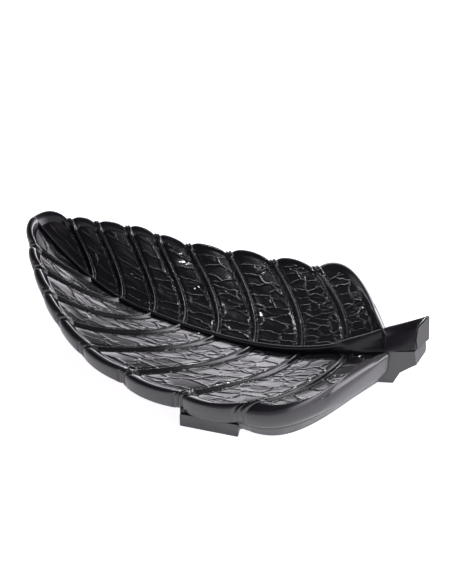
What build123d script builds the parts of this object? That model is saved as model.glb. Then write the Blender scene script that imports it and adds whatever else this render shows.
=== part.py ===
from build123d import *
import math
import os

os.makedirs("parts", exist_ok=True)

# A leaf-shaped dish: an upper leaf moulding and a lower base moulding, joined by screws, with a
# midrib that runs out into an upturned stem.  Millimetres and degrees; +Z is up, +X runs from the
# leaf's tip to its stem, and the name tab is on the -Y side.
#
# Places on the leaf are given by a station u along the midrib, 0 at the stem's root and 1 at the
# tip, and an offset t square to the midrib, negative on the tab's side.

# ---- driving dimensions -----------------------------------------------------------------------
MIDRIB_LENGTH = 300.0
BEND_RADIUS = 616.0            # plan radius of the midrib's gentle curve
ORIGIN_X, ORIGIN_Y = 26.7, 7.0  # middle of the whole part, which becomes its origin

HALF_WIDTH = 90.7              # at the notches of the widest part
TAPER_LENGTH = 0.875           # share of the midrib over which the leaf narrows to its tip
FLOOR_HEIGHT = 13.1            # the midrib's lowest height above the ground
TIP_RISE, TIP_RISE_POWER = 42.0, 1.74
ROOT_RISE, ROOT_RISE_POWER = 26.0, 4.1
LOWEST_STATION = 0.624
SIDE_SLOPE, TIP_SIDE_SLOPE = 0.171, 0.373
SIDE_CROWN = 1.3               # how much the bowl's side eases off from the midrib to the rim
VALLEY_RADIUS = 3.0            # softens the bottom of the bowl along the midrib
SMALLEST_HALF_WIDTH = 20.0     # keeps the sides from steepening where the leaf narrows
SHOULDER_RISE = 21.5           # how far the blade beside the stem stands above the bowl's floor
TIP_CURL = 3.5                 # how far the back edge of the tip curls up

VEIN_RIM_STATIONS = (0.932, 0.872, 0.795, 0.715, 0.620, 0.487, 0.336, 0.191)
VEIN_ROOT_STATIONS = (0.777, 0.677, 0.570, 0.475, 0.372, 0.264, 0.130, 0.004)
VEIN_SWEEP_POWER = 1.7
LOBE_BULGES = (3.5, 2.5, 3.0, 3.0, 4.5, 6.5, 6.5)
FRONT_TIP_REACH, BACK_TIP_REACH = (7.0, 18.0), (10.0, 22.0)  # offsets that round off the tip
# rim of the last lobe on each side: Bezier control points (station, offset, height)
FRONT_LAST_LOBE = ((0.191, -90.7, 34.4), (0.067, -100.0, 35.0), (0.0, -52.0, 37.0), (-0.11, -1.0, 34.0))
BACK_LAST_LOBE = ((0.191, 90.7, 34.4), (0.093, 115.0, 41.0), (-0.027, 75.5, 48.0), (-0.087, 18.0, 46.0))

SHELL_THICKNESS = 3.0
PANEL_DROP = 2.2               # panels lie this far below the vein tops
RIM_WIDTH = 7.0
VEIN_WIDTH = 3.0
WALL_AT_ROOT, WALL_AT_TIP = 22.0, 10.0
MIDRIB_ROOT_WIDTH, MIDRIB_TIP_WIDTH = 5.0, 2.4

PAD_STAND = 0.8                # the rubber pads hold the base this far off the ground
BASE_WALL = 2.4
BASE_INSET = 3.0               # the base's upper edge lies this far inside the rim
BASE_TOP_HEIGHT = 45.0
# outline of the base on the ground, and of its flared sides at BASE_TOP_HEIGHT: (station, offset)
BASE_FOOTPRINT = ((0.83, 0), (0.72, 33), (0.56, 60), (0.38, 82), (0.19, 86), (0.08, 78), (0.0, 50),
                  (-0.052, 10), (-0.045, -8), (0.0, -36), (0.08, -67), (0.19, -85), (0.38, -80),
                  (0.56, -58), (0.72, -33))
BASE_FLARE = ((0.985, 0), (0.86, 86), (0.66, 118), (0.42, 128), (0.17, 128), (0.0, 112), (-0.12, 70),
              (-0.16, 14), (-0.16, -20), (-0.12, -60), (0.03, -105), (0.19, -122), (0.42, -122),
              (0.66, -112), (0.86, -84))

SCREW_PLACES = ((0.72, 0), (0.55, 40), (0.55, -40), (0.35, 52), (0.35, -52), (0.14, 48), (0.14, -48))
SCREW_RADIUS, SCREW_LENGTH = 1.4, 9.0
SCREW_HEAD_RADIUS, SCREW_HEAD_HEIGHT = 3.0, 1.4
BOSS_RADIUS = 4.0
PAD_PLACES = ((0.66, 14), (0.66, -14), (0.16, 66), (0.16, -66))
PAD_NAMES = ("pad_tip_back", "pad_tip_front", "pad_stem_back", "pad_stem_front")
PAD_RADIUS, PAD_THICKNESS = 6.0, 1.6

TAB_LENGTH, TAB_HEIGHT, TAB_THICKNESS = 46.5, 12.4, 2.4
TAB_CENTRE = (82.5, -87.8)
TAB_HEADING = 13.5
TAB_PIN_RADIUS, TAB_PIN_LENGTH, TAB_PIN_SPACING = 1.5, 4.0, 30.0
TAB_SEAT_DEPTH = 14.0
TAB_CLEARANCE = 0.05

# stem sections: waist point, heading and tilt of the section, then (across, up) of the mid face,
# brow, front of the ridge, back of the ridge and back edge, measured from the waist point
STEM_SECTIONS = (
    ((150.0, 12.5, 31.0), 30, 0, ((1.1, 3.4), (2.6, 6.4), (4.6, 9.2), (7.4, 9.2), (13.0, 0.0))),
    ((165.0, 20.5, 32.3), 30, 0, ((1.6, 4.1), (4.2, 8.4), (7.0, 12.0), (10.2, 12.0), (16.0, 0.0))),
    ((180.0, 28.0, 33.6), 20, 0, ((2.5, 6.0), (7.9, 11.0), (11.6, 15.8), (14.8, 15.6), (18.5, 0.0))),
    ((197.5, 38.0, 35.0), -18, 20, ((0.8, 8.1), (5.7, 17.7), (19.5, 21.4), (21.1, 20.1), (15.7, 2.1))),
)
FOOT_END_HEADING, FOOT_END_TILT = -10, 8  # the foot is cut more steeply than the stem above it
FOOT_START = (166.0, 22.0)     # where the foot's front face begins on the ground
FOOT_HEADING = 24.5
FOOT_THICKNESS = 13.0
# side view of the foot: (distance along its front face, height)
FOOT_PROFILE = ((0.0, 0.8), (19.7, 0.8), (24.5, 12.0), (33.5, 19.0), (44.0, 25.5), (44.0, 35.6),
                (-14.0, 31.1), (-12.0, 22.0))
CUTTER_SIZE = 200.0
CAP_THICKNESS, CAP_INSET = 1.2, 0.8
STEM_SCREW_LENGTH = 14.0
KEEL_SCREW_DISTANCE, KEEL_SCREW_SEAT = 14.0, 25.0
ROOT_SCREW_PLACE = (152.5 - ORIGIN_X, 20.5 - ORIGIN_Y)
ROOT_SCREW_SEAT, ROOT_BOSS_LENGTH = 24.0, 8.0
HEAD_CLEARANCE, SHANK_CLEARANCE, SHANK_ROOM = 0.4, 0.3, 14.0
STEM_PAD_DISTANCE, STEM_PAD_RADIUS = 5.2, 3.5


# ---- the leaf's shape -------------------------------------------------------------------------
def smooth_step(low, high, value):
    share = min(max((value - low) / (high - low), 0.0), 1.0)
    return share * share * (3.0 - 2.0 * share)


def plan_point(station, offset):
    """Plan position of a place on the leaf."""
    angle = MIDRIB_LENGTH * (0.5 - station) / BEND_RADIUS
    reach = BEND_RADIUS - offset
    return reach * math.sin(angle) - ORIGIN_X, BEND_RADIUS - reach * math.cos(angle) - ORIGIN_Y


def tip_rise(station):
    return TIP_RISE * max(0.0, (station - LOWEST_STATION) / (1.0 - LOWEST_STATION)) ** TIP_RISE_POWER


def ridge_height(station):
    """Top of the midrib."""
    towards_root = max(0.0, (LOWEST_STATION - station) / LOWEST_STATION)
    return FLOOR_HEIGHT + tip_rise(station) + ROOT_RISE * towards_root ** ROOT_RISE_POWER


def bed_height(station):
    """Height of the vein tops beside the midrib."""
    shoulder = SHOULDER_RISE / (1.0 + math.exp((station - 0.08) / 0.055))
    return FLOOR_HEIGHT + tip_rise(station) + shoulder


def notch_half_width(station):
    share = min(max(1.0 - (1.0 - station) / TAPER_LENGTH, 0.0), 1.0)
    return HALF_WIDTH * max(1.0 - share ** 3.16, 0.0) ** 0.95


def bezier_value(controls, share):
    a, b, c, d = controls
    rest = 1.0 - share
    return rest ** 3 * a + 3 * rest ** 2 * share * b + 3 * rest * share ** 2 * c + share ** 3 * d


def last_lobe_rim(lobe, station):
    """Offset and height of the last lobe's rim at a station, found by halving."""
    stations, offsets, heights = zip(*lobe)
    low, high = 0.0, 1.0
    for _ in range(40):
        middle = 0.5 * (low + high)
        if bezier_value(stations, middle) > station:
            low = middle
        else:
            high = middle
    return abs(bezier_value(offsets, low)), bezier_value(heights, low)


def rim_at(station, side):
    """Half width and height of the rim at a station; side is -1 in front and 1 behind."""
    lobe = FRONT_LAST_LOBE if side < 0 else BACK_LAST_LOBE
    if station < lobe[0][0]:
        return last_lobe_rim(lobe, station)
    half_width = notch_half_width(station)
    slope = SIDE_SLOPE + (TIP_SIDE_SLOPE - SIDE_SLOPE) * smooth_step(0.545, 0.844, station)
    return half_width, ridge_height(station) + slope * half_width


def leaf_height(station, offset):
    """Height of the vein tops anywhere on the leaf; it levels off outside the rim."""
    half_width, rim_height = rim_at(station, 1 if offset > 0 else -1)
    share = (math.hypot(offset, VALLEY_RADIUS) - VALLEY_RADIUS) / math.hypot(half_width, SMALLEST_HALF_WIDTH)
    bed = bed_height(station)
    side_rise = (1.0 - math.exp(-SIDE_CROWN * share)) / (1.0 - math.exp(-SIDE_CROWN))
    curl = TIP_CURL * smooth_step(0.925, 0.985, station) * smooth_step(0.0, 16.0, offset)
    return bed + (rim_height - bed) * side_rise + curl


def wall_bottom_height(station):
    """Lower edge of the leaf moulding's outer wall."""
    rim_height = rim_at(max(station, 0.191), -1)[1]
    return rim_height - (WALL_AT_ROOT + (WALL_AT_TIP - WALL_AT_ROOT) * station)


# ---- building blocks --------------------------------------------------------------------------
def height_face(height, margin=0):
    """A smooth face at height(station, offset), reaching past the leaf on every side."""
    stations = [-0.2 + 0.05 * step for step in range(-margin, 26 + margin)]
    offsets = [-120.0 + 12.0 * step for step in range(-margin, 21 + margin)]
    rows = []
    for station in stations:
        places = [(station, offset) for offset in offsets]
        rows.append([Vector(*plan_point(*place), height(*place)) for place in places])
    return Face.make_surface_from_array_of_points(rows, tol=0.2)


def below(height, depth=100.0, margin=0):
    """Everything from a height face down by a depth."""
    return Solid.extrude(height_face(height, margin), Vector(0, 0, -depth))


def between(top, bottom):
    return below(top) - below(bottom, depth=150.0, margin=1)


def leaf_outline(inset):
    """Plan face of the scalloped leaf, drawn in from its rim by an inset."""
    def place(station, offset):
        drawn_in = max(abs(offset) - inset, 0.0) * (1 if offset > 0 else -1)
        return Vector(*plan_point(station - inset / MIDRIB_LENGTH * max(0, station - 0.9) * 10, drawn_in))

    edges = []
    sides = ((-1, FRONT_TIP_REACH, FRONT_LAST_LOBE), (1, BACK_TIP_REACH, BACK_LAST_LOBE))
    for side, tip_reach, last_lobe in sides:
        notches = [(station, side * notch_half_width(station)) for station in VEIN_RIM_STATIONS]
        tip_lobe = ((1.0, 0.0), (1.0, side * tip_reach[0]), (0.975, side * tip_reach[1]), notches[0])
        edges.append(Bezier(*[place(*point) for point in tip_lobe]))
        for start, end, bulge in zip(notches, notches[1:], LOBE_BULGES):
            first = (start[0] + 0.15 * (end[0] - start[0]),
                     start[1] + 0.15 * (end[1] - start[1]) + side * 1.35 * bulge)
            second = (start[0] + 0.70 * (end[0] - start[0]),
                      start[1] + 0.70 * (end[1] - start[1]) + side * 1.25 * bulge)
            edges.append(Bezier(*[place(*point) for point in (start, first, second, end)]))
        edges.append(Bezier(place(*notches[-1]), *[place(*point[:2]) for point in last_lobe[1:]]))
    front_end, back_end = edges[8] @ 1, edges[17] @ 1
    edges.append(Line(front_end, back_end))
    return Face(Wire(edges))


def prism(face, low=-5.0, high=90.0):
    return Solid.extrude(face.moved(Location((0, 0, low))), Vector(0, 0, high - low))


def vein_path(rim_station, root_station, side, reach=1.0, steps=5):
    """Plan spline of a vein from the midrib to the rim."""
    points = []
    for step in range(steps + 1):
        share = reach * step / steps
        station = root_station + (rim_station - root_station) * share ** VEIN_SWEEP_POWER
        points.append(Vector(*plan_point(station, side * share * notch_half_width(rim_station))))
    return Spline(*points)


def band(path, width):
    """Plan face of a given width along a path."""
    start, end = path @ 0, path @ 1
    samples = [path @ (step / 8) for step in range(9)]
    tangents = [path % (step / 8) for step in range(9)]
    left = [p + Vector(-q.Y, q.X) * (0.5 * width) for p, q in zip(samples, tangents)]
    right = [p - Vector(-q.Y, q.X) * (0.5 * width) for p, q in zip(samples, tangents)]
    ends = (Line(left[-1], right[-1]), Line(right[0], left[0]))
    return Face(Wire([Spline(*left), ends[0], Spline(*right[::-1]), ends[1]]))


def upright(place, radius, low, high):
    """A vertical round bar at a place on the leaf."""
    x, y = plan_point(*place)
    return Pos(x, y, 0.5 * (low + high)) * Cylinder(radius, high - low)


# ---- stem -------------------------------------------------------------------------------------
def section_plane(section):
    (x, y, z), heading, tilt, _ = section
    turn, lean = math.radians(heading), math.radians(tilt)
    outward = Vector(math.cos(turn) * math.cos(lean), math.sin(turn) * math.cos(lean), math.sin(lean))
    across = Vector(-math.sin(turn), math.cos(turn), 0)
    return Plane(origin=(x - ORIGIN_X, y - ORIGIN_Y, z), x_dir=across, z_dir=outward)


def section_wire(section):
    plane = section_plane(section)
    corners = [plane.from_local_coords(Vector(across, up, 0)) for across, up in ((0.0, 0.0), *section[3])]
    return Wire.make_polygon(corners, close=True)


def stem_bar():
    """The upturned stem above its waist, flaring towards the cut end."""
    return Solid.make_loft([section_wire(section) for section in STEM_SECTIONS])


def midrib_bar():
    """The raised midrib from the stem's root to the tip."""
    path_points = [Vector(*plan_point(-0.02 + step * 0.1, 0)) for step in range(11)]
    root, tip = MIDRIB_ROOT_WIDTH / 2, MIDRIB_TIP_WIDTH / 2
    stations = [-0.02 + step * 0.1 for step in range(11)]
    widths = [root + (tip - root) * max(station, 0) for station in stations]
    left = [Vector(*plan_point(station, width)) for station, width in zip(stations, widths)]
    right = [Vector(*plan_point(station, -width)) for station, width in zip(stations, widths)]
    outline = Wire([Spline(*left), Line(left[-1], right[-1]), Spline(*right[::-1]), Line(right[0], left[0])])
    body = between(lambda station, offset: ridge_height(station) + 1.0,
                   lambda station, offset: leaf_height(station, 0) - PANEL_DROP)
    return body & prism(Face(outline))


def end_cutter():
    """Everything beyond the cut at the foot's end, which starts from the stem's waist."""
    plane = section_plane((STEM_SECTIONS[-1][0], FOOT_END_HEADING, FOOT_END_TILT, ()))
    return Solid.extrude(plane * Rectangle(CUTTER_SIZE, CUTTER_SIZE).face(), plane.z_dir * CUTTER_SIZE)


def stem_foot_block():
    """The lower half of the stem with its keel, before it is fitted under the stem."""
    turn = math.radians(FOOT_HEADING)
    along = Vector(math.cos(turn), math.sin(turn), 0)
    start = Vector(FOOT_START[0] - ORIGIN_X, FOOT_START[1] - ORIGIN_Y, 0)
    plane = Plane(origin=start, x_dir=along, z_dir=along.cross(Vector(0, 0, 1)))
    profile = plane * Polygon(*FOOT_PROFILE, align=None)
    return Solid.extrude(profile.face(), plane.z_dir * -FOOT_THICKNESS)


# ---- leaf moulding ----------------------------------------------------------------------------
def panel_height(station, offset):
    return leaf_height(station, offset) - PANEL_DROP


def panel_underside(station, offset):
    return leaf_height(station, offset) - PANEL_DROP - SHELL_THICKNESS


def wall_bottom(station, offset):
    return wall_bottom_height(station)


def leaf_shell_body():
    """Blade, raised veins, scalloped rim and outer wall, with a rib down the wall at each notch."""
    outline = leaf_outline(0)
    blade = between(panel_height, panel_underside) & prism(leaf_outline(1))
    rim = between(leaf_height, wall_bottom) & (prism(outline) - prism(leaf_outline(RIM_WIDTH)))
    vein_bands = []
    notch_ribs = []
    for side in (-1, 1):
        for rim_station, root_station in zip(VEIN_RIM_STATIONS, VEIN_ROOT_STATIONS):
            path = vein_path(rim_station, root_station, side, reach=0.96)
            vein_bands.append(prism(band(path, VEIN_WIDTH)))
            notch = (rim_station, side * notch_half_width(rim_station))
            rim_height = rim_at(rim_station, side)[1]
            notch_ribs.append(upright(notch, VEIN_WIDTH / 2, wall_bottom_height(rim_station), rim_height))
    veins = between(leaf_height, panel_underside) & Compound(vein_bands)
    return blade.fuse(rim, *veins.solids(), *notch_ribs)


def boss(place):
    """A pillar under the blade that a base screw goes into."""
    return upright(place, BOSS_RADIUS, BASE_WALL + PAD_STAND + 0.1, panel_height(*place) - 1.0)


def pilot_hole(place):
    low = BASE_WALL + PAD_STAND
    return upright(place, SCREW_RADIUS, low - 1.0, low + SCREW_LENGTH - BASE_WALL)


# ---- base moulding ----------------------------------------------------------------------------
def smooth_loop(places, height, inset=0.0):
    """Closed smooth outline through places on the leaf, at one height."""
    points = []
    for station, offset in places:
        reach = 1.0 - inset / math.hypot((station - 0.35) * MIDRIB_LENGTH, offset)
        drawn_in = (0.35 + (station - 0.35) * reach, offset * reach)
        points.append(Vector(*plan_point(*drawn_in), height))
    return Wire([Edge.make_spline(points, periodic=True)])


def flared_bowl(inset, floor):
    lower = smooth_loop(BASE_FOOTPRINT, floor, inset)
    upper = smooth_loop(BASE_FLARE, BASE_TOP_HEIGHT + floor, inset)
    return Solid.make_loft([lower, upper], ruled=True)


def base_shell_body():
    """The lower moulding: a flat-bottomed pan whose flared sides end inside the leaf's wall."""
    pan = flared_bowl(0.0, PAD_STAND) - flared_bowl(BASE_WALL, PAD_STAND + BASE_WALL)
    pan = pan & prism(leaf_outline(BASE_INSET))
    pan = pan & below(wall_bottom)
    return pan & below(lambda station, offset: panel_underside(station, offset) - 0.2)


# ---- small pieces -----------------------------------------------------------------------------
def screw(x, y, seat, length):
    """A pan-headed self-tapping screw, head down, whose head bears on a seat."""
    head = Pos(x, y, seat - 0.5 * SCREW_HEAD_HEIGHT) * Cylinder(SCREW_HEAD_RADIUS, SCREW_HEAD_HEIGHT)
    socket = Pos(x, y, seat - SCREW_HEAD_HEIGHT + 0.4) * Cylinder(1.2, 0.8)
    shank = Pos(x, y, seat + 0.5 * length) * Cylinder(SCREW_RADIUS, length)
    return head + shank - socket


def screw_recess(place):
    """Clearance for a base screw's head and shank through the base's floor."""
    seat = PAD_STAND + SCREW_HEAD_HEIGHT
    return upright(place, SCREW_HEAD_RADIUS + 0.3, 0.0, seat) + upright(place, SCREW_RADIUS + 0.3, 0.0, 6.0)


def tab_plane():
    """Upright plane of the name tab's face: X along the tab, Y up, Z outwards."""
    turn = math.radians(TAB_HEADING)
    along = Vector(math.cos(turn), math.sin(turn), 0)
    centre = Vector(TAB_CENTRE[0] - ORIGIN_X, TAB_CENTRE[1] - ORIGIN_Y, PAD_STAND + 0.5 * TAB_HEIGHT)
    return Plane(origin=centre, x_dir=along, z_dir=along.cross(Vector(0, 0, 1)))


def tab_pins(radius, depth):
    plane = tab_plane()
    spots = [plane * Pos(side * 0.5 * TAB_PIN_SPACING, 0) * Circle(radius) for side in (-1, 1)]
    return [Solid.extrude(spot.face(), plane.z_dir * -depth) for spot in spots]


def name_tab_body():
    """A blank name plate with two locating pins behind it."""
    plane = tab_plane()
    face = plane * RectangleRounded(TAB_LENGTH, TAB_HEIGHT, 1.0)
    plate = Solid.extrude(face.face(), plane.z_dir * -TAB_THICKNESS)
    return plate.fuse(*tab_pins(TAB_PIN_RADIUS, TAB_THICKNESS + TAB_PIN_LENGTH))


def tab_seat():
    """The pad on the base's flared side that the tab lies against, with holes for its pins."""
    plane = tab_plane().offset(-TAB_THICKNESS - TAB_CLEARANCE)
    face = plane * Rectangle(TAB_LENGTH - 1.0, TAB_HEIGHT)
    return Solid.extrude(face.face(), plane.z_dir * -TAB_SEAT_DEPTH)


def tab_room():
    """Clearance round the tab's plate, taken out of the mouldings behind and above it."""
    plane = tab_plane()
    room = 2 * TAB_CLEARANCE
    face = plane * Rectangle(TAB_LENGTH + room, TAB_HEIGHT + room)
    return Solid.extrude(face.face(), plane.z_dir * -(TAB_THICKNESS + TAB_CLEARANCE))


def foot_pad(x, y):
    return Pos(x, y, 0.5 * PAD_THICKNESS) * Cylinder(PAD_RADIUS, PAD_THICKNESS)


def stem_cap_body():
    """The separate plate that closes the stem's cut end."""
    plane = section_plane(STEM_SECTIONS[-1])
    outline = [(0.0, 0.0), *STEM_SECTIONS[-1][3]]
    face = plane * offset(Polygon(*outline, align=None), -CAP_INSET, kind=Kind.INTERSECTION)
    return Solid.extrude(face.face(), plane.z_dir * CAP_THICKNESS)


def along_stem(distance):
    """Plan position under the middle of the stem, a distance past the foot's start."""
    turn = math.radians(FOOT_HEADING)
    middle = 0.5 * FOOT_THICKNESS
    x = FOOT_START[0] - ORIGIN_X + distance * math.cos(turn) - middle * math.sin(turn)
    y = FOOT_START[1] - ORIGIN_Y + distance * math.sin(turn) + middle * math.cos(turn)
    return x, y


def one_piece(shape):
    """The moulding itself, without any crumbs that the cuts left loose."""
    return max(shape.solids(), key=lambda solid: solid.volume)


def write(name, shape):
    export_step(Compound(shape.solids()), "parts/" + name + ".step")


# ---- the whole part ---------------------------------------------------------------------------
def stem_screw_well(place, seat):
    """Room below a seat for a screw's head and above it for its shank."""
    well = Pos(*place, 0.5 * seat) * Cylinder(SCREW_HEAD_RADIUS + HEAD_CLEARANCE, seat)
    return well + Pos(*place, seat + 0.5 * SHANK_ROOM) * Cylinder(SCREW_RADIUS + SHANK_CLEARANCE, SHANK_ROOM)


stem_lower = stem_foot_block() - end_cutter()
stem_spine = stem_bar() + midrib_bar()

keel_screw = (along_stem(KEEL_SCREW_DISTANCE), KEEL_SCREW_SEAT)
root_screw = (ROOT_SCREW_PLACE, ROOT_SCREW_SEAT)
stem_screws = [screw(*place, seat, STEM_SCREW_LENGTH) for place, seat in (keel_screw, root_screw)]
screw_wells = [stem_screw_well(place, seat) for place, seat in (keel_screw, root_screw)]
stem_foot = (stem_lower - stem_spine).cut(*screw_wells)
for place, seat in (keel_screw, root_screw):
    stem_spine -= Pos(*place, seat + 0.5 * STEM_SCREW_LENGTH) * Cylinder(SCREW_RADIUS, STEM_SCREW_LENGTH)
stem_pad_at = along_stem(STEM_PAD_DISTANCE)
stem_pad = Pos(*stem_pad_at, 0.5 * PAD_THICKNESS) * Cylinder(STEM_PAD_RADIUS, PAD_THICKNESS)
stem_foot -= stem_pad

root_boss_height = ROOT_SCREW_SEAT + 0.5 * ROOT_BOSS_LENGTH
root_boss = Pos(*ROOT_SCREW_PLACE, root_boss_height) * Cylinder(BOSS_RADIUS, ROOT_BOSS_LENGTH)
leaf_shell = leaf_shell_body().fuse(root_boss, *[boss(place) for place in SCREW_PLACES])
leaf_shell = leaf_shell - stem_spine - stem_lower - tab_room()
leaf_shell = leaf_shell.cut(*screw_wells, *[pilot_hole(place) for place in SCREW_PLACES])

seat_pad = tab_seat() & below(wall_bottom)
base_shell = (base_shell_body() + seat_pad) - stem_lower
pads = [foot_pad(*plan_point(*place)) for place in PAD_PLACES]
recesses = [screw_recess(place) for place in SCREW_PLACES]
pin_holes = tab_pins(TAB_PIN_RADIUS + TAB_CLEARANCE, TAB_THICKNESS + TAB_PIN_LENGTH + 1.0)
base_shell = base_shell.cut(*pads, *recesses, *pin_holes, tab_room())
base_seat = PAD_STAND + SCREW_HEAD_HEIGHT
base_screws = [screw(*plan_point(*place), base_seat, SCREW_LENGTH - 1.4) for place in SCREW_PLACES]

write("leaf_shell", one_piece(leaf_shell))
write("stem_spine", stem_spine)
write("stem_foot", stem_foot)
write("stem_end_cap", stem_cap_body())
write("base_shell", one_piece(base_shell))
write("name_tab", name_tab_body())
write("base_screws", Compound(base_screws))
write("stem_screws", Compound(stem_screws))
write("stem_pad", stem_pad)
for name, pad in zip(PAD_NAMES, pads):
    write(name, pad)
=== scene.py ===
import math
from types import SimpleNamespace

import bpy
import numpy as np
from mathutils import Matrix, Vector


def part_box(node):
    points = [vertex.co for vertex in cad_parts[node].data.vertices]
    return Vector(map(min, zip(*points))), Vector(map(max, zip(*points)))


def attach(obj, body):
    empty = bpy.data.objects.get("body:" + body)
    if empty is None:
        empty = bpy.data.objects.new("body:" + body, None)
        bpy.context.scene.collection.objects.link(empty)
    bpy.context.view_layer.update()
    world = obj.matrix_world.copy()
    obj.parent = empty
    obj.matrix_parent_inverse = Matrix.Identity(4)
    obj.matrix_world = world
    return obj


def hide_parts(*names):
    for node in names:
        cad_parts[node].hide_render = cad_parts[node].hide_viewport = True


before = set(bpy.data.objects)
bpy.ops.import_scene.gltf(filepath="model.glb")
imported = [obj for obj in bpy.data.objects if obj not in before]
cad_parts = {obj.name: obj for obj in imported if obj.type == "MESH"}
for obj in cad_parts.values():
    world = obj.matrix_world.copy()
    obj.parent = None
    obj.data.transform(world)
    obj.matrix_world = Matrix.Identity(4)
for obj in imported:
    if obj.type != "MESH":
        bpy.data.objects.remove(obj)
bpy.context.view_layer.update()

# A glossy black leaf-shaped dish.  Places on the leaf are given as in the CAD model: a station u
# along the midrib, 0 at the stem's root and 1 at the tip, and an offset t square to it, negative on
# the name tab's side.  All lengths below are in millimetres; meshes are scaled to metres.
MM = 0.001
MIDRIB_LENGTH = 300.0
BEND_RADIUS = 616.0
ORIGIN_X, ORIGIN_Y = 26.7, 7.0

HALF_WIDTH = 90.7
TAPER_LENGTH = 0.875
FLOOR_HEIGHT = 13.1
TIP_RISE, TIP_RISE_POWER = 42.0, 1.74
ROOT_RISE, ROOT_RISE_POWER = 26.0, 4.1
LOWEST_STATION = 0.624
SIDE_SLOPE, TIP_SIDE_SLOPE = 0.171, 0.373
SIDE_CROWN = 1.3
VALLEY_RADIUS = 3.0
SMALLEST_HALF_WIDTH = 20.0
SHOULDER_RISE = 21.5
TIP_CURL = 2.4
VEIN_RIM_STATIONS = (0.932, 0.872, 0.795, 0.715, 0.620, 0.487, 0.336, 0.191)
VEIN_ROOT_STATIONS = (0.777, 0.677, 0.570, 0.475, 0.372, 0.264, 0.130, 0.004)
TIP_ROOT_STATION, STEM_ROOT_STATION = 0.93, -0.095
VEIN_SWEEP_POWER = 1.7
LOBE_BULGES = (3.5, 2.5, 3.0, 3.0, 4.5, 6.5, 6.5)
FRONT_TIP_REACH, BACK_TIP_REACH = (7.0, 18.0), (10.0, 22.0)
# how far the middle of each lobe's crest is raised, lobe by lobe from the tip
FRONT_LIFTS = (0.8, 1.2, 1.0, 1.0, 1.2, 1.6, 0.9, 0.9, 0.0)
BACK_LIFTS = (0.4, 2.0, 1.6, 2.0, 1.8, 2.8, 2.2, 2.2, -0.8)
FRONT_LAST_LOBE = ((0.191, -90.7, 34.4), (0.067, -100.0, 35.0), (0.0, -52.0, 37.0), (-0.11, -1.0, 34.0))
BACK_LAST_LOBE = ((0.191, 90.7, 34.4), (0.093, 115.0, 45.0), (-0.017, 72.0, 50.0), (-0.087, 18.0, 47.0))
PANEL_DROP = 2.2
SHELL_THICKNESS = 3.0
WALL_AT_ROOT, WALL_AT_TIP = 22.0, 10.0
BASE_STATIONS, BASE_SLOPES = (0.12, 0.25, 0.336, 0.487, 0.62), (0.45, 0.55, 1.0, 1.28, 1.45)
BASE_BOTTOM = 0.8
TAB_HEADING, TAB_LENGTH, TAB_THICKNESS = 13.5, 46.5, 2.4
# smooth band inside the rim's edge and radius of the rounded crest, lobe by lobe from the tip
FRONT_MARGINS, BACK_MARGINS = (6, 7, 8, 8, 8, 8, 8, 8, 18), (6, 6, 6, 6, 6, 6, 7, 8, 18)
FRONT_ROUNDS = (2.5, 2.8, 3.0, 3.0, 3.0, 3.0, 3.0, 3.2, 13.0)
BACK_ROUNDS = (2.5, 2.5, 2.5, 2.5, 2.8, 3.0, 3.5, 4.5, 9.0)
FRONT_VEIN_WIDTHS = (1.3, 1.3, 1.3, 1.4, 1.4, 1.5, 1.5, 1.5)
BACK_VEIN_WIDTHS = (1.3, 1.3, 1.3, 1.4, 1.4, 1.4, 1.5, 1.5)
RIB_WIDTHS = (1.8, 1.8, 1.9, 2.0, 2.2, 2.5, 2.9, 3.3)     # half widths where a vein crosses the rim

# share of the panels' full hollow, and of a fifth of the crinkle, lobe by lobe from the tip
RELIEF_BY_LOBE = (0.2, 0.3, 0.45, 0.6, 0.85, 1.0, 1.0, 1.0, 1.0)
VEIN_RISE, CREASE_DEPTH, PANEL_HOLLOW = 0.5, 1.1, 1.8
BEVEL_DROP, BEVEL_INSET, WALL_LEAN = 1.9, 1.4, 0.8
USUAL_ROUNDING = 3.0
LOWEST_WALL_FOOT, WALL_FOOT_WIDTH = 8.0, 5.5

COLUMNS_PER_LOBE = 80
LAST_LOBE = 8
LOBE_MIDDLES = np.arange(LAST_LOBE + 1) + 0.5
PANEL_ROWS, BAND_ROWS, ROUND_ROWS, WALL_ROWS, INNER_ROWS = 170, 14, 12, 12, 14
SHORTEST_COLUMN = 12.0
FAR = 60.0                     # stands for no vein on that side
SQUARENESS_WINDOW, EDGE_WINDOW = 41, 25       # columns averaged together

MIDRIB_ROOT_WIDTH, MIDRIB_NARROWING = 5.4, 2.6
# (place, heading, tilt, corners across and up) of the stem's cross-sections
STEM_SECTIONS = (
    ((150.0, 12.5, 31.0), 30, 0, ((1.1, 3.4), (2.6, 6.4), (4.6, 9.2), (7.4, 9.2), (13.0, 0.0))),
    ((165.0, 20.5, 32.3), 30, 0, ((2.6, 3.3), (5.0, 7.6), (7.2, 12.0), (10.2, 12.0), (16.0, 0.0))),
    ((180.0, 28.0, 33.6), 20, 0, ((4.0, 4.9), (8.6, 10.4), (11.8, 15.8), (14.8, 15.6), (18.5, 0.0))),
    ((197.5, 38.0, 35.0), -18, 20, ((2.2, 7.2), (6.2, 17.4), (19.5, 21.4), (21.1, 20.1), (15.7, 2.1))),
)


# ---- leaf shape -------------------------------------------------------------------------------
def smooth_step(low, high, value):
    share = np.clip((value - low) / (high - low), 0.0, 1.0)
    return share * share * (3.0 - 2.0 * share)


def plan_point(station, offset):
    angle = MIDRIB_LENGTH * (0.5 - station) / BEND_RADIUS
    reach = BEND_RADIUS - offset
    return reach * np.sin(angle) - ORIGIN_X, BEND_RADIUS - reach * np.cos(angle) - ORIGIN_Y


def tip_rise(station):
    share = np.maximum(0.0, (station - LOWEST_STATION) / (1.0 - LOWEST_STATION))
    return TIP_RISE * share ** TIP_RISE_POWER


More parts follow.
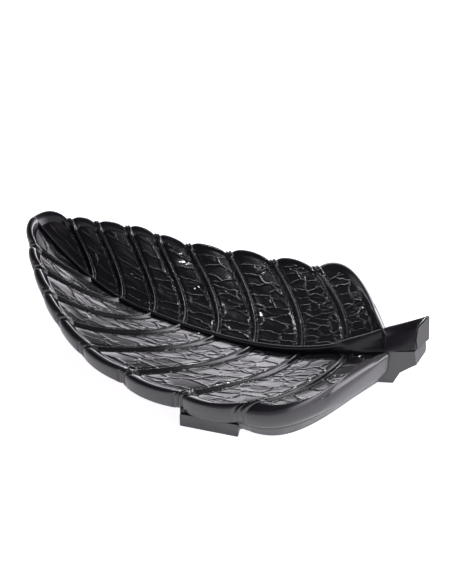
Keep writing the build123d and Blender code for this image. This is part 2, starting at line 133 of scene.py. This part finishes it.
def ridge_height(station):
    towards_root = np.maximum(0.0, (LOWEST_STATION - station) / LOWEST_STATION)
    return FLOOR_HEIGHT + tip_rise(station) + ROOT_RISE * towards_root ** ROOT_RISE_POWER


def bed_height(station):
    return FLOOR_HEIGHT + tip_rise(station) + SHOULDER_RISE / (1.0 + np.exp((station - 0.08) / 0.055))


def notch_half_width(station):
    share = np.clip(1.0 - (1.0 - station) / TAPER_LENGTH, 0.0, 1.0)
    return HALF_WIDTH * np.maximum(1.0 - share ** 3.16, 0.0) ** 0.95


def bezier(controls, share):
    a, b, c, d = [np.asarray(control, float) for control in controls]
    share = np.asarray(share)[..., None]
    rest = 1.0 - share
    return rest ** 3 * a + 3 * rest ** 2 * share * b + 3 * rest * share ** 2 * c + share ** 3 * d


def rim_at(station, side):
    """Half width and height of the rim at each station."""
    slope = SIDE_SLOPE + (TIP_SIDE_SLOPE - SIDE_SLOPE) * smooth_step(0.545, 0.844, station)
    half_width = notch_half_width(station)
    height = ridge_height(station) + slope * half_width
    lobe = bezier(FRONT_LAST_LOBE if side < 0 else BACK_LAST_LOBE, np.linspace(0, 1, 400))[::-1]
    last = station < lobe[-1, 0]
    half_width = np.where(last, np.interp(station, lobe[:, 0], np.abs(lobe[:, 1])), half_width)
    height = np.where(last, np.interp(station, lobe[:, 0], lobe[:, 2]), height)
    return half_width, height


def leaf_height(station, offset, side):
    half_width, rim_height = rim_at(station, side)
    share = (np.hypot(offset, VALLEY_RADIUS) - VALLEY_RADIUS) / np.hypot(half_width, SMALLEST_HALF_WIDTH)
    bed = bed_height(station)
    side_rise = (1.0 - np.exp(-SIDE_CROWN * share)) / (1.0 - math.exp(-SIDE_CROWN))
    curl = TIP_CURL * smooth_step(0.925, 0.985, station) * smooth_step(0.0, 16.0, offset)
    return bed + (rim_height - bed) * side_rise + curl


def wall_height(station):
    return WALL_AT_ROOT + (WALL_AT_TIP - WALL_AT_ROOT) * np.clip(station, 0.0, 1.0)


def rim_curve(side):
    """Columns round one side's rim, tip to stem: lobe number, share of the lobe, station, offset."""
    widths = notch_half_width(np.array(VEIN_RIM_STATIONS))
    notches = [(station, side * float(width)) for station, width in zip(VEIN_RIM_STATIONS, widths)]
    reach = FRONT_TIP_REACH if side < 0 else BACK_TIP_REACH
    lobes = [((1.0, 0.0), (1.0, side * reach[0]), (0.975, side * reach[1]), notches[0])]
    for start, end, bulge in zip(notches, notches[1:], LOBE_BULGES):
        run, rise = end[0] - start[0], end[1] - start[1]
        first = (start[0] + 0.15 * run, start[1] + 0.15 * rise + side * 1.35 * bulge)
        second = (start[0] + 0.70 * run, start[1] + 0.70 * rise + side * 1.25 * bulge)
        lobes.append((start, first, second, end))
    last = FRONT_LAST_LOBE if side < 0 else BACK_LAST_LOBE
    lobes.append((notches[-1], *[control[:2] for control in last[1:]]))
    columns = []
    for number, lobe in enumerate(lobes):
        count = COLUMNS_PER_LOBE * (2 if number == LAST_LOBE else 1)
        shares = np.linspace(0.0, 1.0, count, endpoint=number == LAST_LOBE)
        places = bezier(lobe, shares)
        for share, (station, offset) in zip(shares, places):
            columns.append((number, share, station, offset))
    return np.array(columns)


# ---- procedural relief ------------------------------------------------------------------------
def lattice(seed):
    return np.random.RandomState(seed).rand(256, 256)


def value_noise(x, y, seed):
    table = lattice(seed)
    column, row = np.floor(x).astype(int), np.floor(y).astype(int)
    fx, fy = x - column, y - row
    fx, fy = fx * fx * (3 - 2 * fx), fy * fy * (3 - 2 * fy)
    corners = [table[(column + i) % 256, (row + j) % 256] for i, j in ((0, 0), (1, 0), (0, 1), (1, 1))]
    low = corners[0] * (1 - fx) + corners[1] * fx
    high = corners[2] * (1 - fx) + corners[3] * fx
    return 2.0 * (low * (1 - fy) + high * fy) - 1.0


def cell_edges(x, y, seed):
    """Distance to the nearest border between scattered cells, in cell widths."""
    shift_x, shift_y = lattice(seed), lattice(seed + 1)
    column, row = np.floor(x).astype(int), np.floor(y).astype(int)
    nearest = np.full(x.shape, 9.0)
    second = np.full(x.shape, 9.0)
    for i in (-1, 0, 1):
        for j in (-1, 0, 1):
            a, b = (column + i) % 256, (row + j) % 256
            px = column + i + 0.08 + 0.84 * shift_x[a, b]
            py = row + j + 0.08 + 0.84 * shift_y[a, b]
            distance = np.hypot(x - px, y - py)
            second = np.minimum(second, np.maximum(nearest, distance))
            nearest = np.minimum(nearest, distance)
    return second - nearest


def crinkle(along, across, lobe, side):
    """Raised crinkled lines on the panels: along runs with the vein, across from vein to vein."""
    warp_a = value_noise(along / 11.0, across / 11.0, 11 + side)
    warp_b = value_noise(along / 9.0 + 40, across / 13.0, 12 + side)
    along = along + 3.4 * warp_a + 1.2 * value_noise(along / 3.6, across / 3.6, 13)
    across = across + 3.6 * warp_b + 1.2 * value_noise(along / 4.0, across / 3.3, 14)
    dense = (lobe >= 7) & (side > 0)
    along = along + (0.3 * across if side < 0 else 0.0)
    short_cell = np.where(dense, 9.0, 12.0)
    long_cell = np.where(dense, 12.0, 16.0 if side < 0 else 20.0)
    coarse = cell_edges(along / short_cell + 17 * lobe, across / long_cell + 5 * lobe, 31 + side)
    fine = cell_edges(along / (0.6 * short_cell) + 9 * lobe, across / (0.7 * long_cell), 51 + side)
    lines = np.exp(-(coarse / 0.08) ** 2)
    patches = smooth_step(-0.1, 0.5, value_noise(along / 14.0, across / 14.0, 61))
    hairs = patches * np.exp(-(fine / 0.15) ** 2)
    puff = value_noise(along / 9.0, across / 11.0, 71)
    line_height, hair_height, puff_height = pick(side, (0.42, 0.2, 0.1), (0.65, 0.36, 0.3))
    return line_height * lines + hair_height * hairs + puff_height * puff


# ---- leaf mesh --------------------------------------------------------------------------------
def pick(side, front, back):
    return front if side < 0 else back


def rim_frame(side):
    """Where one side's columns start and end, and the directions square to its rim."""
    lobe, share, station, offset = rim_curve(side).T
    lobe = lobe.astype(int)
    position = lobe + share
    all_roots = np.array((TIP_ROOT_STATION, *VEIN_ROOT_STATIONS, STEM_ROOT_STATION))
    roots = np.interp(position, range(len(all_roots)), all_roots)
    x, y = plan_point(station, offset)
    root_x, root_y = plan_point(roots, 0.0 * roots)
    length = np.maximum(np.hypot(x - root_x, y - root_y), SHORTEST_COLUMN)
    dx, dy = np.gradient(x), np.gradient(y)
    size = np.hypot(dx, dy) + 1e-9
    out_x, out_y = dy / size, -dx / size
    reach = out_x * (x - root_x) + out_y * (y - root_y)
    outward = np.sign(np.mean(reach))
    squareness = np.abs(reach) / length
    half_window = SQUARENESS_WINDOW // 2
    window = np.ones(SQUARENESS_WINDOW) / SQUARENESS_WINDOW
    squareness = np.convolve(np.pad(squareness, half_window, mode="edge"), window, mode="valid")
    return SimpleNamespace(
        side=side, lobe=lobe, share=share, position=position, roots=roots, station=station,
        offset=offset, x=x, y=y, length=length, out_x=out_x * outward, out_y=out_y * outward,
        squareness=np.clip(squareness, 0.2, 1.0))


def add_rim_profile(rim):
    """Adds the smooth band's width, the crest's radius and the crest's height, column by column."""
    side, lobe, share = rim.side, rim.lobe, rim.share
    # bands are square to the rim, so they run further along a row that meets the rim at a slant
    margin = np.interp(rim.position, LOBE_MIDDLES, pick(side, FRONT_MARGINS, BACK_MARGINS)) / rim.squareness
    largest_share = np.where(lobe == LAST_LOBE, 0.45 + 0.5 * share, 0.45)
    rim.margin = np.minimum(margin, largest_share * rim.length)
    rounding = np.interp(rim.position, LOBE_MIDDLES, pick(side, FRONT_ROUNDS, BACK_ROUNDS))
    rim.rounding = np.minimum(rounding, 0.75 * rim.margin * rim.squareness)
    lift = np.array(pick(side, FRONT_LIFTS, BACK_LIFTS))[lobe] * np.sin(np.pi * share ** 0.75)
    last_height = bezier(pick(side, FRONT_LAST_LOBE, BACK_LAST_LOBE), share)[:, 2]
    rim.level = leaf_height(rim.station, rim.offset, side)
    crest = np.where(lobe == LAST_LOBE, last_height, rim.level)
    rim.crest = crest + lift + 0.2 * (rim.rounding - USUAL_ROUNDING)


def nearest_vein(rim):
    """Number of the vein that borders the nearer half of each column's lobe."""
    return np.where(rim.share < 0.5, rim.lobe - 1, rim.lobe).clip(0, len(VEIN_RIM_STATIONS) - 1)


def vein_gaps(rim, v, x, y):
    """Distances, square to the vein, from the veins on the tip side and the stem side."""
    vein_rims, vein_roots = np.array(VEIN_RIM_STATIONS), np.array(VEIN_ROOT_STATIONS)
    vein_offsets = rim.side * notch_half_width(vein_rims)
    gaps = []
    for number, valid in ((rim.lobe - 1, rim.lobe > 0), (rim.lobe, rim.lobe < LAST_LOBE)):
        number = np.clip(number, 0, LAST_LOBE - 1)
        run = vein_rims[number] - vein_roots[number]
        places = []
        for w in (v, v + 0.02):
            station = vein_roots[number] + run * w ** VEIN_SWEEP_POWER
            places.append(plan_point(station, vein_offsets[number] * w))
        (ax, ay), (bx, by) = places
        tx, ty = bx - ax, by - ay
        gap = np.abs((x - ax) * ty - (y - ay) * tx) / np.hypot(tx, ty)
        gap = np.maximum(gap, 0.5 * np.hypot(x - ax, y - ay))
        gaps.append(np.where(valid, gap, FAR))
    return gaps


def surface(rim, v):
    """The blade without veins or relief, a share v of the way from the midrib to the rim."""
    station = rim.roots + (rim.station - rim.roots) * v ** VEIN_SWEEP_POWER
    x, y = plan_point(station, rim.offset * v)
    height = leaf_height(station, rim.offset * v, rim.side)
    return x, y, height + smooth_step(0.25, 1.0, v) * (rim.crest - rim.level)


def panel_rows(rim):
    """Rows from the midrib to the smooth band: veins, creases beside them and crinkled panels."""
    width = np.array(pick(rim.side, FRONT_VEIN_WIDTHS, BACK_VEIN_WIDTHS))[nearest_vein(rim)]
    relief = np.interp(rim.position, LOBE_MIDDLES, RELIEF_BY_LOBE)
    edge_share = 1.0 - rim.margin / rim.length
    rows = []
    for number in range(PANEL_ROWS):
        v = edge_share * number / (PANEL_ROWS - 1)
        from_midrib = v * rim.length
        x, y, height = surface(rim, v)
        tip_gap, stem_gap = vein_gaps(rim, v, x, y)
        gap = np.minimum(tip_gap, stem_gap)
        vein = np.exp(-(gap / width) ** 2)
        crease = np.exp(-((gap - 2.1 * width) / (0.75 * width)) ** 2)
        from_band = (1.0 - v / edge_share) * edge_share * rim.length
        fade = smooth_step(1.0, 2.7, gap / width) * smooth_step(0.0, 3.0, from_band)
        fade = fade * smooth_step(2.0, 5.0, from_midrib)
        hollow = relief * (0.8 - PANEL_HOLLOW * np.sin(math.pi * v) + 0.5 * v)
        pillow = smooth_step(0.0, 9.0, gap) * hollow
        midrib_crease = np.exp(-(from_midrib / 3.5) ** 2)
        height = height - PANEL_DROP + (PANEL_DROP + VEIN_RISE) * vein - CREASE_DEPTH * crease
        height = height + pillow - midrib_crease
        across = np.where(rim.lobe == 0, stem_gap, tip_gap)
        lines = crinkle(from_midrib, across, rim.lobe, rim.side)
        rows.append((x, y, height + (0.8 + 0.2 * relief) * fade * lines))
    return rows


def add_ribs(rim):
    """Adds the ribs where veins cross the rim: a raised rib in a dip, with fine grooves beside it."""
    vein_rims = np.array(VEIN_RIM_STATIONS)
    notch_x, notch_y = plan_point(vein_rims, rim.side * notch_half_width(vein_rims))
    gap = np.hypot(rim.x[:, None] - notch_x, rim.y[:, None] - notch_y).min(axis=1)
    share = gap / np.array(RIB_WIDTHS)[nearest_vein(rim)]
    rim.vein = 1.0 - smooth_step(0.75, 1.25, share)
    groove = np.exp(-((share - 1.45) / 0.35) ** 2) * (rim.side < 0)
    dip = 1.5 * np.exp(-(gap / 5.0) ** 2) + 0.4 * groove
    rim.crest_top = rim.crest - dip + 1.9 * rim.vein
    rim.rib = 1.2 * rim.vein - 0.5 * groove - 0.3 * dip


def band_rows(rim, edge_height):
    """Rows of the smooth band, from the panels' edge up to the crest."""
    half_window = EDGE_WINDOW // 2
    window = np.ones(EDGE_WINDOW) / EDGE_WINDOW
    even = np.convolve(np.pad(edge_height, half_window, mode="edge"), window, mode="valid")
    start = np.where(rim.lobe == LAST_LOBE, even, edge_height)
    rows = []
    for number in range(1, BAND_ROWS + 1):
        turn = number / BAND_ROWS
        distance = rim.margin - (rim.margin - rim.rounding / rim.squareness) * turn
        x, y, _ = surface(rim, 1.0 - distance / rim.length)
        rise = math.sin(0.5 * math.pi * turn)
        bulb = rim.vein * math.exp(-((turn - 0.85) / 0.2) ** 2)
        rows.append((x, y, start + (rim.crest_top - start) * rise + bulb))
    return rows


def wall_rows(rim, crest_x, crest_y, crest_z, depth):
    """Rows over the rounded crest and down the outer wall to the bevel at its foot."""
    rows = []
    fall = 1.2 * rim.rounding
    for number in range(1, ROUND_ROWS + 1):
        turn = 0.5 * math.pi * number / ROUND_ROWS
        step = math.sin(turn)
        x = crest_x + (rim.x - crest_x + rim.out_x * rim.rib) * step
        y = crest_y + (rim.y - crest_y + rim.out_y * rim.rib) * step
        rows.append((x, y, crest_z - fall * (1.0 - math.cos(turn))))
    for number in range(1, WALL_ROWS + 1):
        share_down = number / WALL_ROWS
        out = rim.rib - WALL_LEAN * share_down ** 2
        height = crest_z - fall - (depth - fall - BEVEL_DROP) * share_down
        rows.append((rim.x + rim.out_x * out, rim.y + rim.out_y * out, height))
    return rows


def leaf_side(side):
    """One half of the leaf as a closed loop of rows, where it is satin, and the base below it."""
    rim = rim_frame(side)
    add_rim_profile(rim)
    add_ribs(rim)
    rows = panel_rows(rim)
    rows += band_rows(rim, rows[-1][2])
    crest_x, crest_y, crest_z = rows[-1]
    depth = np.minimum(wall_height(rim.station), crest_z - LOWEST_WALL_FOOT)
    bottom = crest_z - depth
    rows += wall_rows(rim, crest_x, crest_y, crest_z, depth)
    foot_out = rim.rib - WALL_LEAN - BEVEL_INSET
    wall_foot = rim.x + rim.out_x * foot_out, rim.y + rim.out_y * foot_out
    rows.append((*wall_foot, bottom))
    rows.append((rim.x - rim.out_x * WALL_FOOT_WIDTH, rim.y - rim.out_y * WALL_FOOT_WIDTH, bottom))
    inner_share = 1.0 - np.minimum(8.0 / rim.length, 0.4)
    for number in range(INNER_ROWS + 1):
        x, y, height = surface(rim, inner_share * (1.0 - number / INNER_ROWS))
        rows.append((x, y, height - PANEL_DROP - SHELL_THICKNESS))
    leaf_rows = np.stack([np.stack(row, axis=-1) for row in rows])
    below_crest = np.arange(len(rows)) - PANEL_ROWS - BAND_ROWS
    satin_by_row = smooth_step(0.0, ROUND_ROWS, below_crest) * pick(side, 1.0, 0.3)
    satin = np.repeat(satin_by_row[:, None], len(rim.lobe), axis=1)
    return leaf_rows, satin, base_side(rim.station, *wall_foot, bottom)


def base_side(station, x, y, top):
    """Rows of the base's flared side, from just under the leaf's wall to the ground."""
    slope = np.interp(station, BASE_STATIONS, BASE_SLOPES)
    drop = np.maximum(top - BASE_BOTTOM, 1.0)
    # the deep inward run is eased, so that neighbouring columns don't cross near the tip
    middle_x, middle_y = plan_point(np.clip(station, 0.1, 0.75), 0.0 * station)
    to_x, to_y = middle_x - x, middle_y - y
    away = np.hypot(to_x, to_y) + 1e-6
    reach = np.minimum(slope * drop, 0.85 * away)
    rows = []
    rows.append((x + to_x / away * 1.5, y + to_y / away * 1.5, top + 0.5))
    for share in (0.0, 0.35, 0.7, 0.96, 1.0):
        inset = 0.6 + reach * share
        rows.append((x + to_x / away * inset, y + to_y / away * inset, top - drop * share))
    rows.append((middle_x, middle_y, np.full_like(x, BASE_BOTTOM)))
    rows.append((middle_x, middle_y, np.full_like(x, BASE_BOTTOM + 2.4)))
    rows.append((x + to_x / away * 4.5, y + to_y / away * 4.5, top - 0.4))
    return np.stack([np.stack(row, axis=-1) for row in rows])


def closed_grid(points, flip):
    """Vertices and faces of a loop of rows swept over columns, closed at both ends."""
    rows, columns, _ = points.shape
    index = np.arange(rows * columns).reshape(rows, columns)
    above = np.roll(index, -1, axis=0)
    quads = np.stack([index[:, :-1], index[:, 1:], above[:, 1:], above[:, :-1]], axis=-1).reshape(-1, 4)
    faces = [tuple(quad) for quad in (quads[:, ::-1] if flip else quads).tolist()]
    first, last = index[:, 0].tolist(), index[:, -1].tolist()
    faces.append(tuple(first if not flip else first[::-1]))
    faces.append(tuple(last[::-1] if not flip else last))
    return points.reshape(-1, 3), faces


def new_object(name, points, faces, material, node):
    mesh = bpy.data.meshes.new(name)
    mesh.from_pydata((points * MM).tolist(), [], faces)
    mesh.update()
    mesh.polygons.foreach_set("use_smooth", [True] * len(mesh.polygons))
    piece = bpy.data.objects.new(name, mesh)
    bpy.context.scene.collection.objects.link(piece)
    mesh.materials.append(material)
    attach(piece, "root")
    if node:
        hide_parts(node)
    return piece


def joined(*grids):
    """One list of points and faces out of several."""
    points, faces, count = [], [], 0
    for grid_points, grid_faces in grids:
        points.append(grid_points)
        faces += [tuple(corner + count for corner in face) for face in grid_faces]
        count += len(grid_points)
    return np.concatenate(points), faces


def build_mouldings(leaf_material, base_material):
    front_leaf, front_satin, front_base = leaf_side(-1)
    back_leaf, back_satin, back_base = leaf_side(1)
    points, faces = joined(closed_grid(front_leaf, True), closed_grid(back_leaf, False))
    leaf = new_object("leaf", points, faces, leaf_material, "leaf_shell")
    attribute = leaf.data.attributes.new("satin", "FLOAT", "POINT")
    attribute.data.foreach_set("value", np.concatenate((front_satin.ravel(), back_satin.ravel())))
    points, faces = joined(closed_grid(front_base, True), closed_grid(back_base, False), tab_seat())
    new_object("base", points, faces, base_material, "base_shell")


def tab_seat():
    """A block on the base behind the name tab, worked out from the tab's own box."""
    low, high = [np.array(corner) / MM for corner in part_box("name_tab")]
    turn = math.radians(TAB_HEADING)
    along, inward = np.array([math.cos(turn), math.sin(turn)]), np.array([-math.sin(turn), math.cos(turn)])
    start = np.array([low[0], low[1]]) + inward * (TAB_THICKNESS + 0.6)
    corners = [start, start + along * TAB_LENGTH]
    corners += [corners[1] + inward * 12.0, corners[0] + inward * 12.0]
    points = [(*corner, z) for z in (low[2], high[2] + 2.5) for corner in corners]
    faces = [(3, 2, 1, 0), (4, 5, 6, 7), (0, 1, 5, 4), (1, 2, 6, 5), (2, 3, 7, 6), (3, 0, 4, 7)]
    return np.array(points), faces


# ---- midrib and stem --------------------------------------------------------------------------
def section_points(section):
    (x, y, z), heading, tilt, corners = section
    turn, lean = math.radians(heading), math.radians(tilt)
    across = np.array([-math.sin(turn), math.cos(turn), 0.0])
    outward = np.array([math.cos(turn) * math.cos(lean), math.sin(turn) * math.cos(lean), math.sin(lean)])
    up = np.cross(outward, across)
    origin = np.array([x - ORIGIN_X, y - ORIGIN_Y, z])
    return np.array([origin + a * across + b * up for a, b in ((0.0, 0.0), *corners)])


def midrib_ring(station):
    width = MIDRIB_ROOT_WIDTH - MIDRIB_NARROWING * station
    x, y = plan_point(station, 0.0)
    nx, ny = plan_point(station, 1.0)
    across = np.array([nx - x, ny - y, 0.0])
    base = float(leaf_height(np.float64(station), np.float64(0.0), 1)) - PANEL_DROP - 1.0
    top = float(ridge_height(station)) + 0.8
    corners = ((-0.5, 0.0), (-0.5, 0.5), (-0.42, 0.82), (-0.2, 1.0), (0.2, 1.0), (0.5, 0.0))
    return np.array([np.array([x, y, base + share * (top - base)]) + across * width * side
                     for side, share in corners])


def catmull(points, share):
    """Smooth value between rings: points is (rings, corners, 3)."""
    count = len(points)
    place = np.clip(share, 0, 1) * (count - 1)
    number = min(int(place), count - 2)
    f = place - number
    p0, p1 = points[max(number - 1, 0)], points[number]
    p2, p3 = points[number + 1], points[min(number + 2, count - 1)]
    return 0.5 * (2 * p1 + (p2 - p0) * f + (2 * p0 - 5 * p1 + 4 * p2 - p3) * f * f
                  + (3 * p1 - p0 - 3 * p2 + p3) * f ** 3)


def chamfered(ring, size):
    """Each corner of a ring becomes three points of a small round."""
    result = []
    count = len(ring)
    for number in range(count):
        before, here, after = ring[number - 1], ring[number], ring[(number + 1) % count]
        back_length = np.linalg.norm(before - here) + 1e-6
        next_length = np.linalg.norm(after - here) + 1e-6
        a = here + (before - here) * min(size / back_length, 0.45)
        b = here + (after - here) * min(size / next_length, 0.45)
        result += [a, 0.25 * a + 0.5 * here + 0.25 * b, b]
    return np.array(result)


def build_stem(material):
    stations = [0.985 - 0.035 * number for number in range(28)]
    rings = [midrib_ring(station) for station in stations] + [section_points(s) for s in STEM_SECTIONS]
    rings = np.array(rings)
    steps = (len(rings) - 1) * 6
    shape = [chamfered(catmull(rings, step / steps), 0.7) for step in range(steps + 1)]
    points = np.stack(shape, axis=1)
    vertices, faces = closed_grid(points, False)
    new_object("midrib_and_stem", vertices, faces, material, "stem_spine")


# ---- materials --------------------------------------------------------------------------------
def principled(name, color, roughness, specular=0.6):
    material = bpy.data.materials.new(name)
    material.use_nodes = True
    shader = material.node_tree.nodes["Principled BSDF"]
    shader.inputs["Base Color"].default_value = (*color, 1.0)
    shader.inputs["Roughness"].default_value = roughness
    shader.inputs["Specular IOR Level"].default_value = specular
    return material, material.node_tree, shader


def add_noise_bump(tree, shader, scale, strength, distance):
    nodes, links = tree.nodes, tree.links
    place = nodes.new("ShaderNodeTexCoord")
    noise = nodes.new("ShaderNodeTexNoise")
    noise.inputs["Scale"].default_value = scale
    noise.inputs["Detail"].default_value = 4.0
    bump = nodes.new("ShaderNodeBump")
    bump.inputs["Strength"].default_value = strength
    bump.inputs["Distance"].default_value = distance
    links.new(place.outputs["Object"], noise.inputs["Vector"])
    links.new(noise.outputs["Fac"], bump.inputs["Height"])
    links.new(bump.outputs["Normal"], shader.inputs["Normal"])
    return bump


def add_roughness_noise(tree, shader, scale, low, high):
    nodes, links = tree.nodes, tree.links
    place = nodes.new("ShaderNodeTexCoord")
    noise = nodes.new("ShaderNodeTexNoise")
    noise.inputs["Scale"].default_value = scale
    span = nodes.new("ShaderNodeMapRange")
    span.inputs["From Min"].default_value = 0.3
    span.inputs["From Max"].default_value = 0.7
    span.inputs["To Min"].default_value = low
    span.inputs["To Max"].default_value = high
    links.new(place.outputs["Object"], noise.inputs["Vector"])
    links.new(noise.outputs["Fac"], span.inputs["Value"])
    links.new(span.outputs["Result"], shader.inputs["Roughness"])
    return span


def more_where_satin(tree, amount, base=0.0):
    """A value that is larger on the satin parts of the leaf: the rim's crest and the wall."""
    satin = tree.nodes.new("ShaderNodeAttribute")
    satin.attribute_name = "satin"
    value = tree.nodes.new("ShaderNodeMath")
    value.operation = "MULTIPLY_ADD"
    value.inputs[1].default_value = amount
    value.inputs[2].default_value = base
    tree.links.new(satin.outputs["Fac"], value.inputs[0])
    return value


def leaf_gloss():
    material, tree, shader = principled("leaf_gloss_black", (0.008, 0.007, 0.010), 0.2)
    bump = add_noise_bump(tree, shader, 1100.0, 0.1, 0.0006)
    grain = more_where_satin(tree, 0.06, 0.05)
    tree.links.new(grain.outputs["Value"], bump.inputs["Strength"])
    span = add_roughness_noise(tree, shader, 60.0, 0.09, 0.17)
    roughness = more_where_satin(tree, 0.12)
    tree.links.new(span.outputs["Result"], roughness.inputs[2])
    tree.links.new(roughness.outputs["Value"], shader.inputs["Roughness"])
    return material


def stem_gloss():
    material, tree, shader = principled("stem_gloss_black", (0.008, 0.007, 0.010), 0.22)
    add_noise_bump(tree, shader, 1000.0, 0.05, 0.0005)
    add_roughness_noise(tree, shader, 80.0, 0.12, 0.22)
    return material


def end_satin():
    material, tree, shader = principled("end_satin_black", (0.02, 0.019, 0.022), 0.36)
    add_noise_bump(tree, shader, 1000.0, 0.15, 0.0005)
    add_roughness_noise(tree, shader, 80.0, 0.32, 0.42)
    return material


def base_satin():
    material, tree, shader = principled("base_satin_black", (0.02, 0.02, 0.022), 0.4)
    add_noise_bump(tree, shader, 1100.0, 0.15, 0.0004)
    add_roughness_noise(tree, shader, 90.0, 0.34, 0.48)
    return material


def rubber():
    material, tree, shader = principled("rubber_black", (0.03, 0.03, 0.03), 0.8, 0.3)
    add_noise_bump(tree, shader, 1500.0, 0.3, 0.0003)
    return material


def screw_steel():
    material, tree, shader = principled("screw_zinc", (0.55, 0.55, 0.56), 0.35)
    shader.inputs["Metallic"].default_value = 1.0
    add_roughness_noise(tree, shader, 400.0, 0.28, 0.45)
    return material


def dress_node(node, material):
    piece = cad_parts[node]
    for slot in piece.material_slots:
        slot.material = material


# ---- stage, lights and camera -----------------------------------------------------------------
CAMERA_TARGET = (47.7, 2.5, 60.2)
CAMERA_AZIMUTH, CAMERA_ELEVATION, CAMERA_DISTANCE = 28.9, 39.6, 1200.0
CAMERA_LENS = 93.5137


def make_camera():
    data = bpy.data.cameras.new("view")
    data.sensor_fit = "AUTO"
    data.sensor_width = 36.0
    data.lens = CAMERA_LENS
    data.clip_end = 20.0
    camera = bpy.data.objects.new("view", data)
    bpy.context.scene.collection.objects.link(camera)
    turn, lift = math.radians(CAMERA_AZIMUTH), math.radians(CAMERA_ELEVATION)
    back = Vector((math.sin(turn) * math.cos(lift), -math.cos(turn) * math.cos(lift), math.sin(lift)))
    target = Vector((CAMERA_TARGET[0] - ORIGIN_X, CAMERA_TARGET[1] - ORIGIN_Y, CAMERA_TARGET[2]))
    camera.location = (target + back * CAMERA_DISTANCE) * MM
    camera.rotation_euler = (-back).to_track_quat("-Z", "Y").to_euler()
    bpy.context.scene.camera = camera


def make_floor():
    material, tree, shader = principled("floor_white", (0.9, 0.9, 0.9), 0.9, 0.1)
    shader.inputs["Emission Color"].default_value = studio_tint(1.0)
    shader.inputs["Emission Strength"].default_value = 0.9
    size = 6.0
    mesh = bpy.data.meshes.new("floor")
    corners = [(-size, -size, 0), (size, -size, 0), (size, size, 0), (-size, size, 0)]
    mesh.from_pydata(corners, [], [(0, 1, 2, 3)])
    mesh.materials.append(material)
    floor = bpy.data.objects.new("floor", mesh)
    bpy.context.scene.collection.objects.link(floor)


def area_light(name, place, aim, size, power, spread):
    data = bpy.data.lights.new(name, "AREA")
    data.spread = math.radians(spread)
    data.shape = "RECTANGLE"
    data.size, data.size_y = size
    data.energy = power
    light = bpy.data.objects.new(name, data)
    bpy.context.scene.collection.objects.link(light)
    light.location = place
    light.rotation_euler = (Vector(aim) - Vector(place)).to_track_quat("-Z", "Y").to_euler()


def studio_tint(level):
    """The studio's faintly violet white."""
    return (level, 0.975 * level, 1.035 * level, 1.0)


def make_world():
    """A studio that is bright low down behind the dish, most of all by its stem, and dark elsewhere."""
    world = bpy.data.worlds.new("studio")
    bpy.context.scene.world = world
    world.use_nodes = True
    nodes, links = world.node_tree.nodes, world.node_tree.links
    place = nodes.new("ShaderNodeTexCoord")
    split = nodes.new("ShaderNodeSeparateXYZ")
    ramp = nodes.new("ShaderNodeValToRGB")
    behind = nodes.new("ShaderNodeMapRange")
    behind.inputs["From Min"].default_value = 0.0
    behind.inputs["From Max"].default_value = 1.0
    behind.inputs["To Min"].default_value = 0.6
    behind.inputs["To Max"].default_value = 8.8
    turned = nodes.new("ShaderNodeVectorRotate")
    turned.rotation_type = "Z_AXIS"
    turned.inputs["Angle"].default_value = math.radians(35.0)
    links.new(place.outputs["Generated"], turned.inputs["Vector"])
    links.new(turned.outputs["Vector"], split.inputs["Vector"])
    links.new(split.outputs["Z"], ramp.inputs["Fac"])
    links.new(split.outputs["Y"], behind.inputs["Value"])
    links.new(ramp.outputs["Color"], nodes["Background"].inputs["Color"])
    links.new(behind.outputs["Result"], nodes["Background"].inputs["Strength"])
    # height of the direction looked along, and the brightness there
    stops = ((0.0, 1.0), (0.29, 1.0), (0.45, 0.22), (0.60, 0.14), (1.0, 0.10))
    elements = ramp.color_ramp.elements
    elements[0].position, elements[0].color = stops[0][0], studio_tint(stops[0][1])
    elements[1].position, elements[1].color = stops[-1][0], studio_tint(stops[-1][1])
    for position, level in stops[1:-1]:
        elements.new(position).color = studio_tint(level)


make_camera()
make_world()
make_floor()
# narrow beams in metres, degrees and watts, aimed at the stem end so that they miss the tip
area_light("right_above", place=(0.575, 0.29, 1.31), aim=(0.12, -0.06, 0.035),
           size=(0.24, 0.24), power=0.14, spread=14.0)
area_light("high_back", place=(-0.35, 0.75, 1.3), aim=(0.07, 0.04, 0.03),
           size=(0.08, 0.08), power=0.02, spread=14.0)
bpy.context.scene.view_settings.view_transform = "Standard"

build_stem(stem_gloss())
satin = base_satin()
build_mouldings(leaf_gloss(), satin)
for node in ("stem_foot", "name_tab"):
    dress_node(node, satin)
dress_node("stem_end_cap", end_satin())
pad_material = rubber()
for node in ("stem_pad", "pad_tip_back", "pad_tip_front", "pad_stem_back", "pad_stem_front"):
    dress_node(node, pad_material)
steel = screw_steel()
for node in ("base_screws", "stem_screws"):
    dress_node(node, steel)
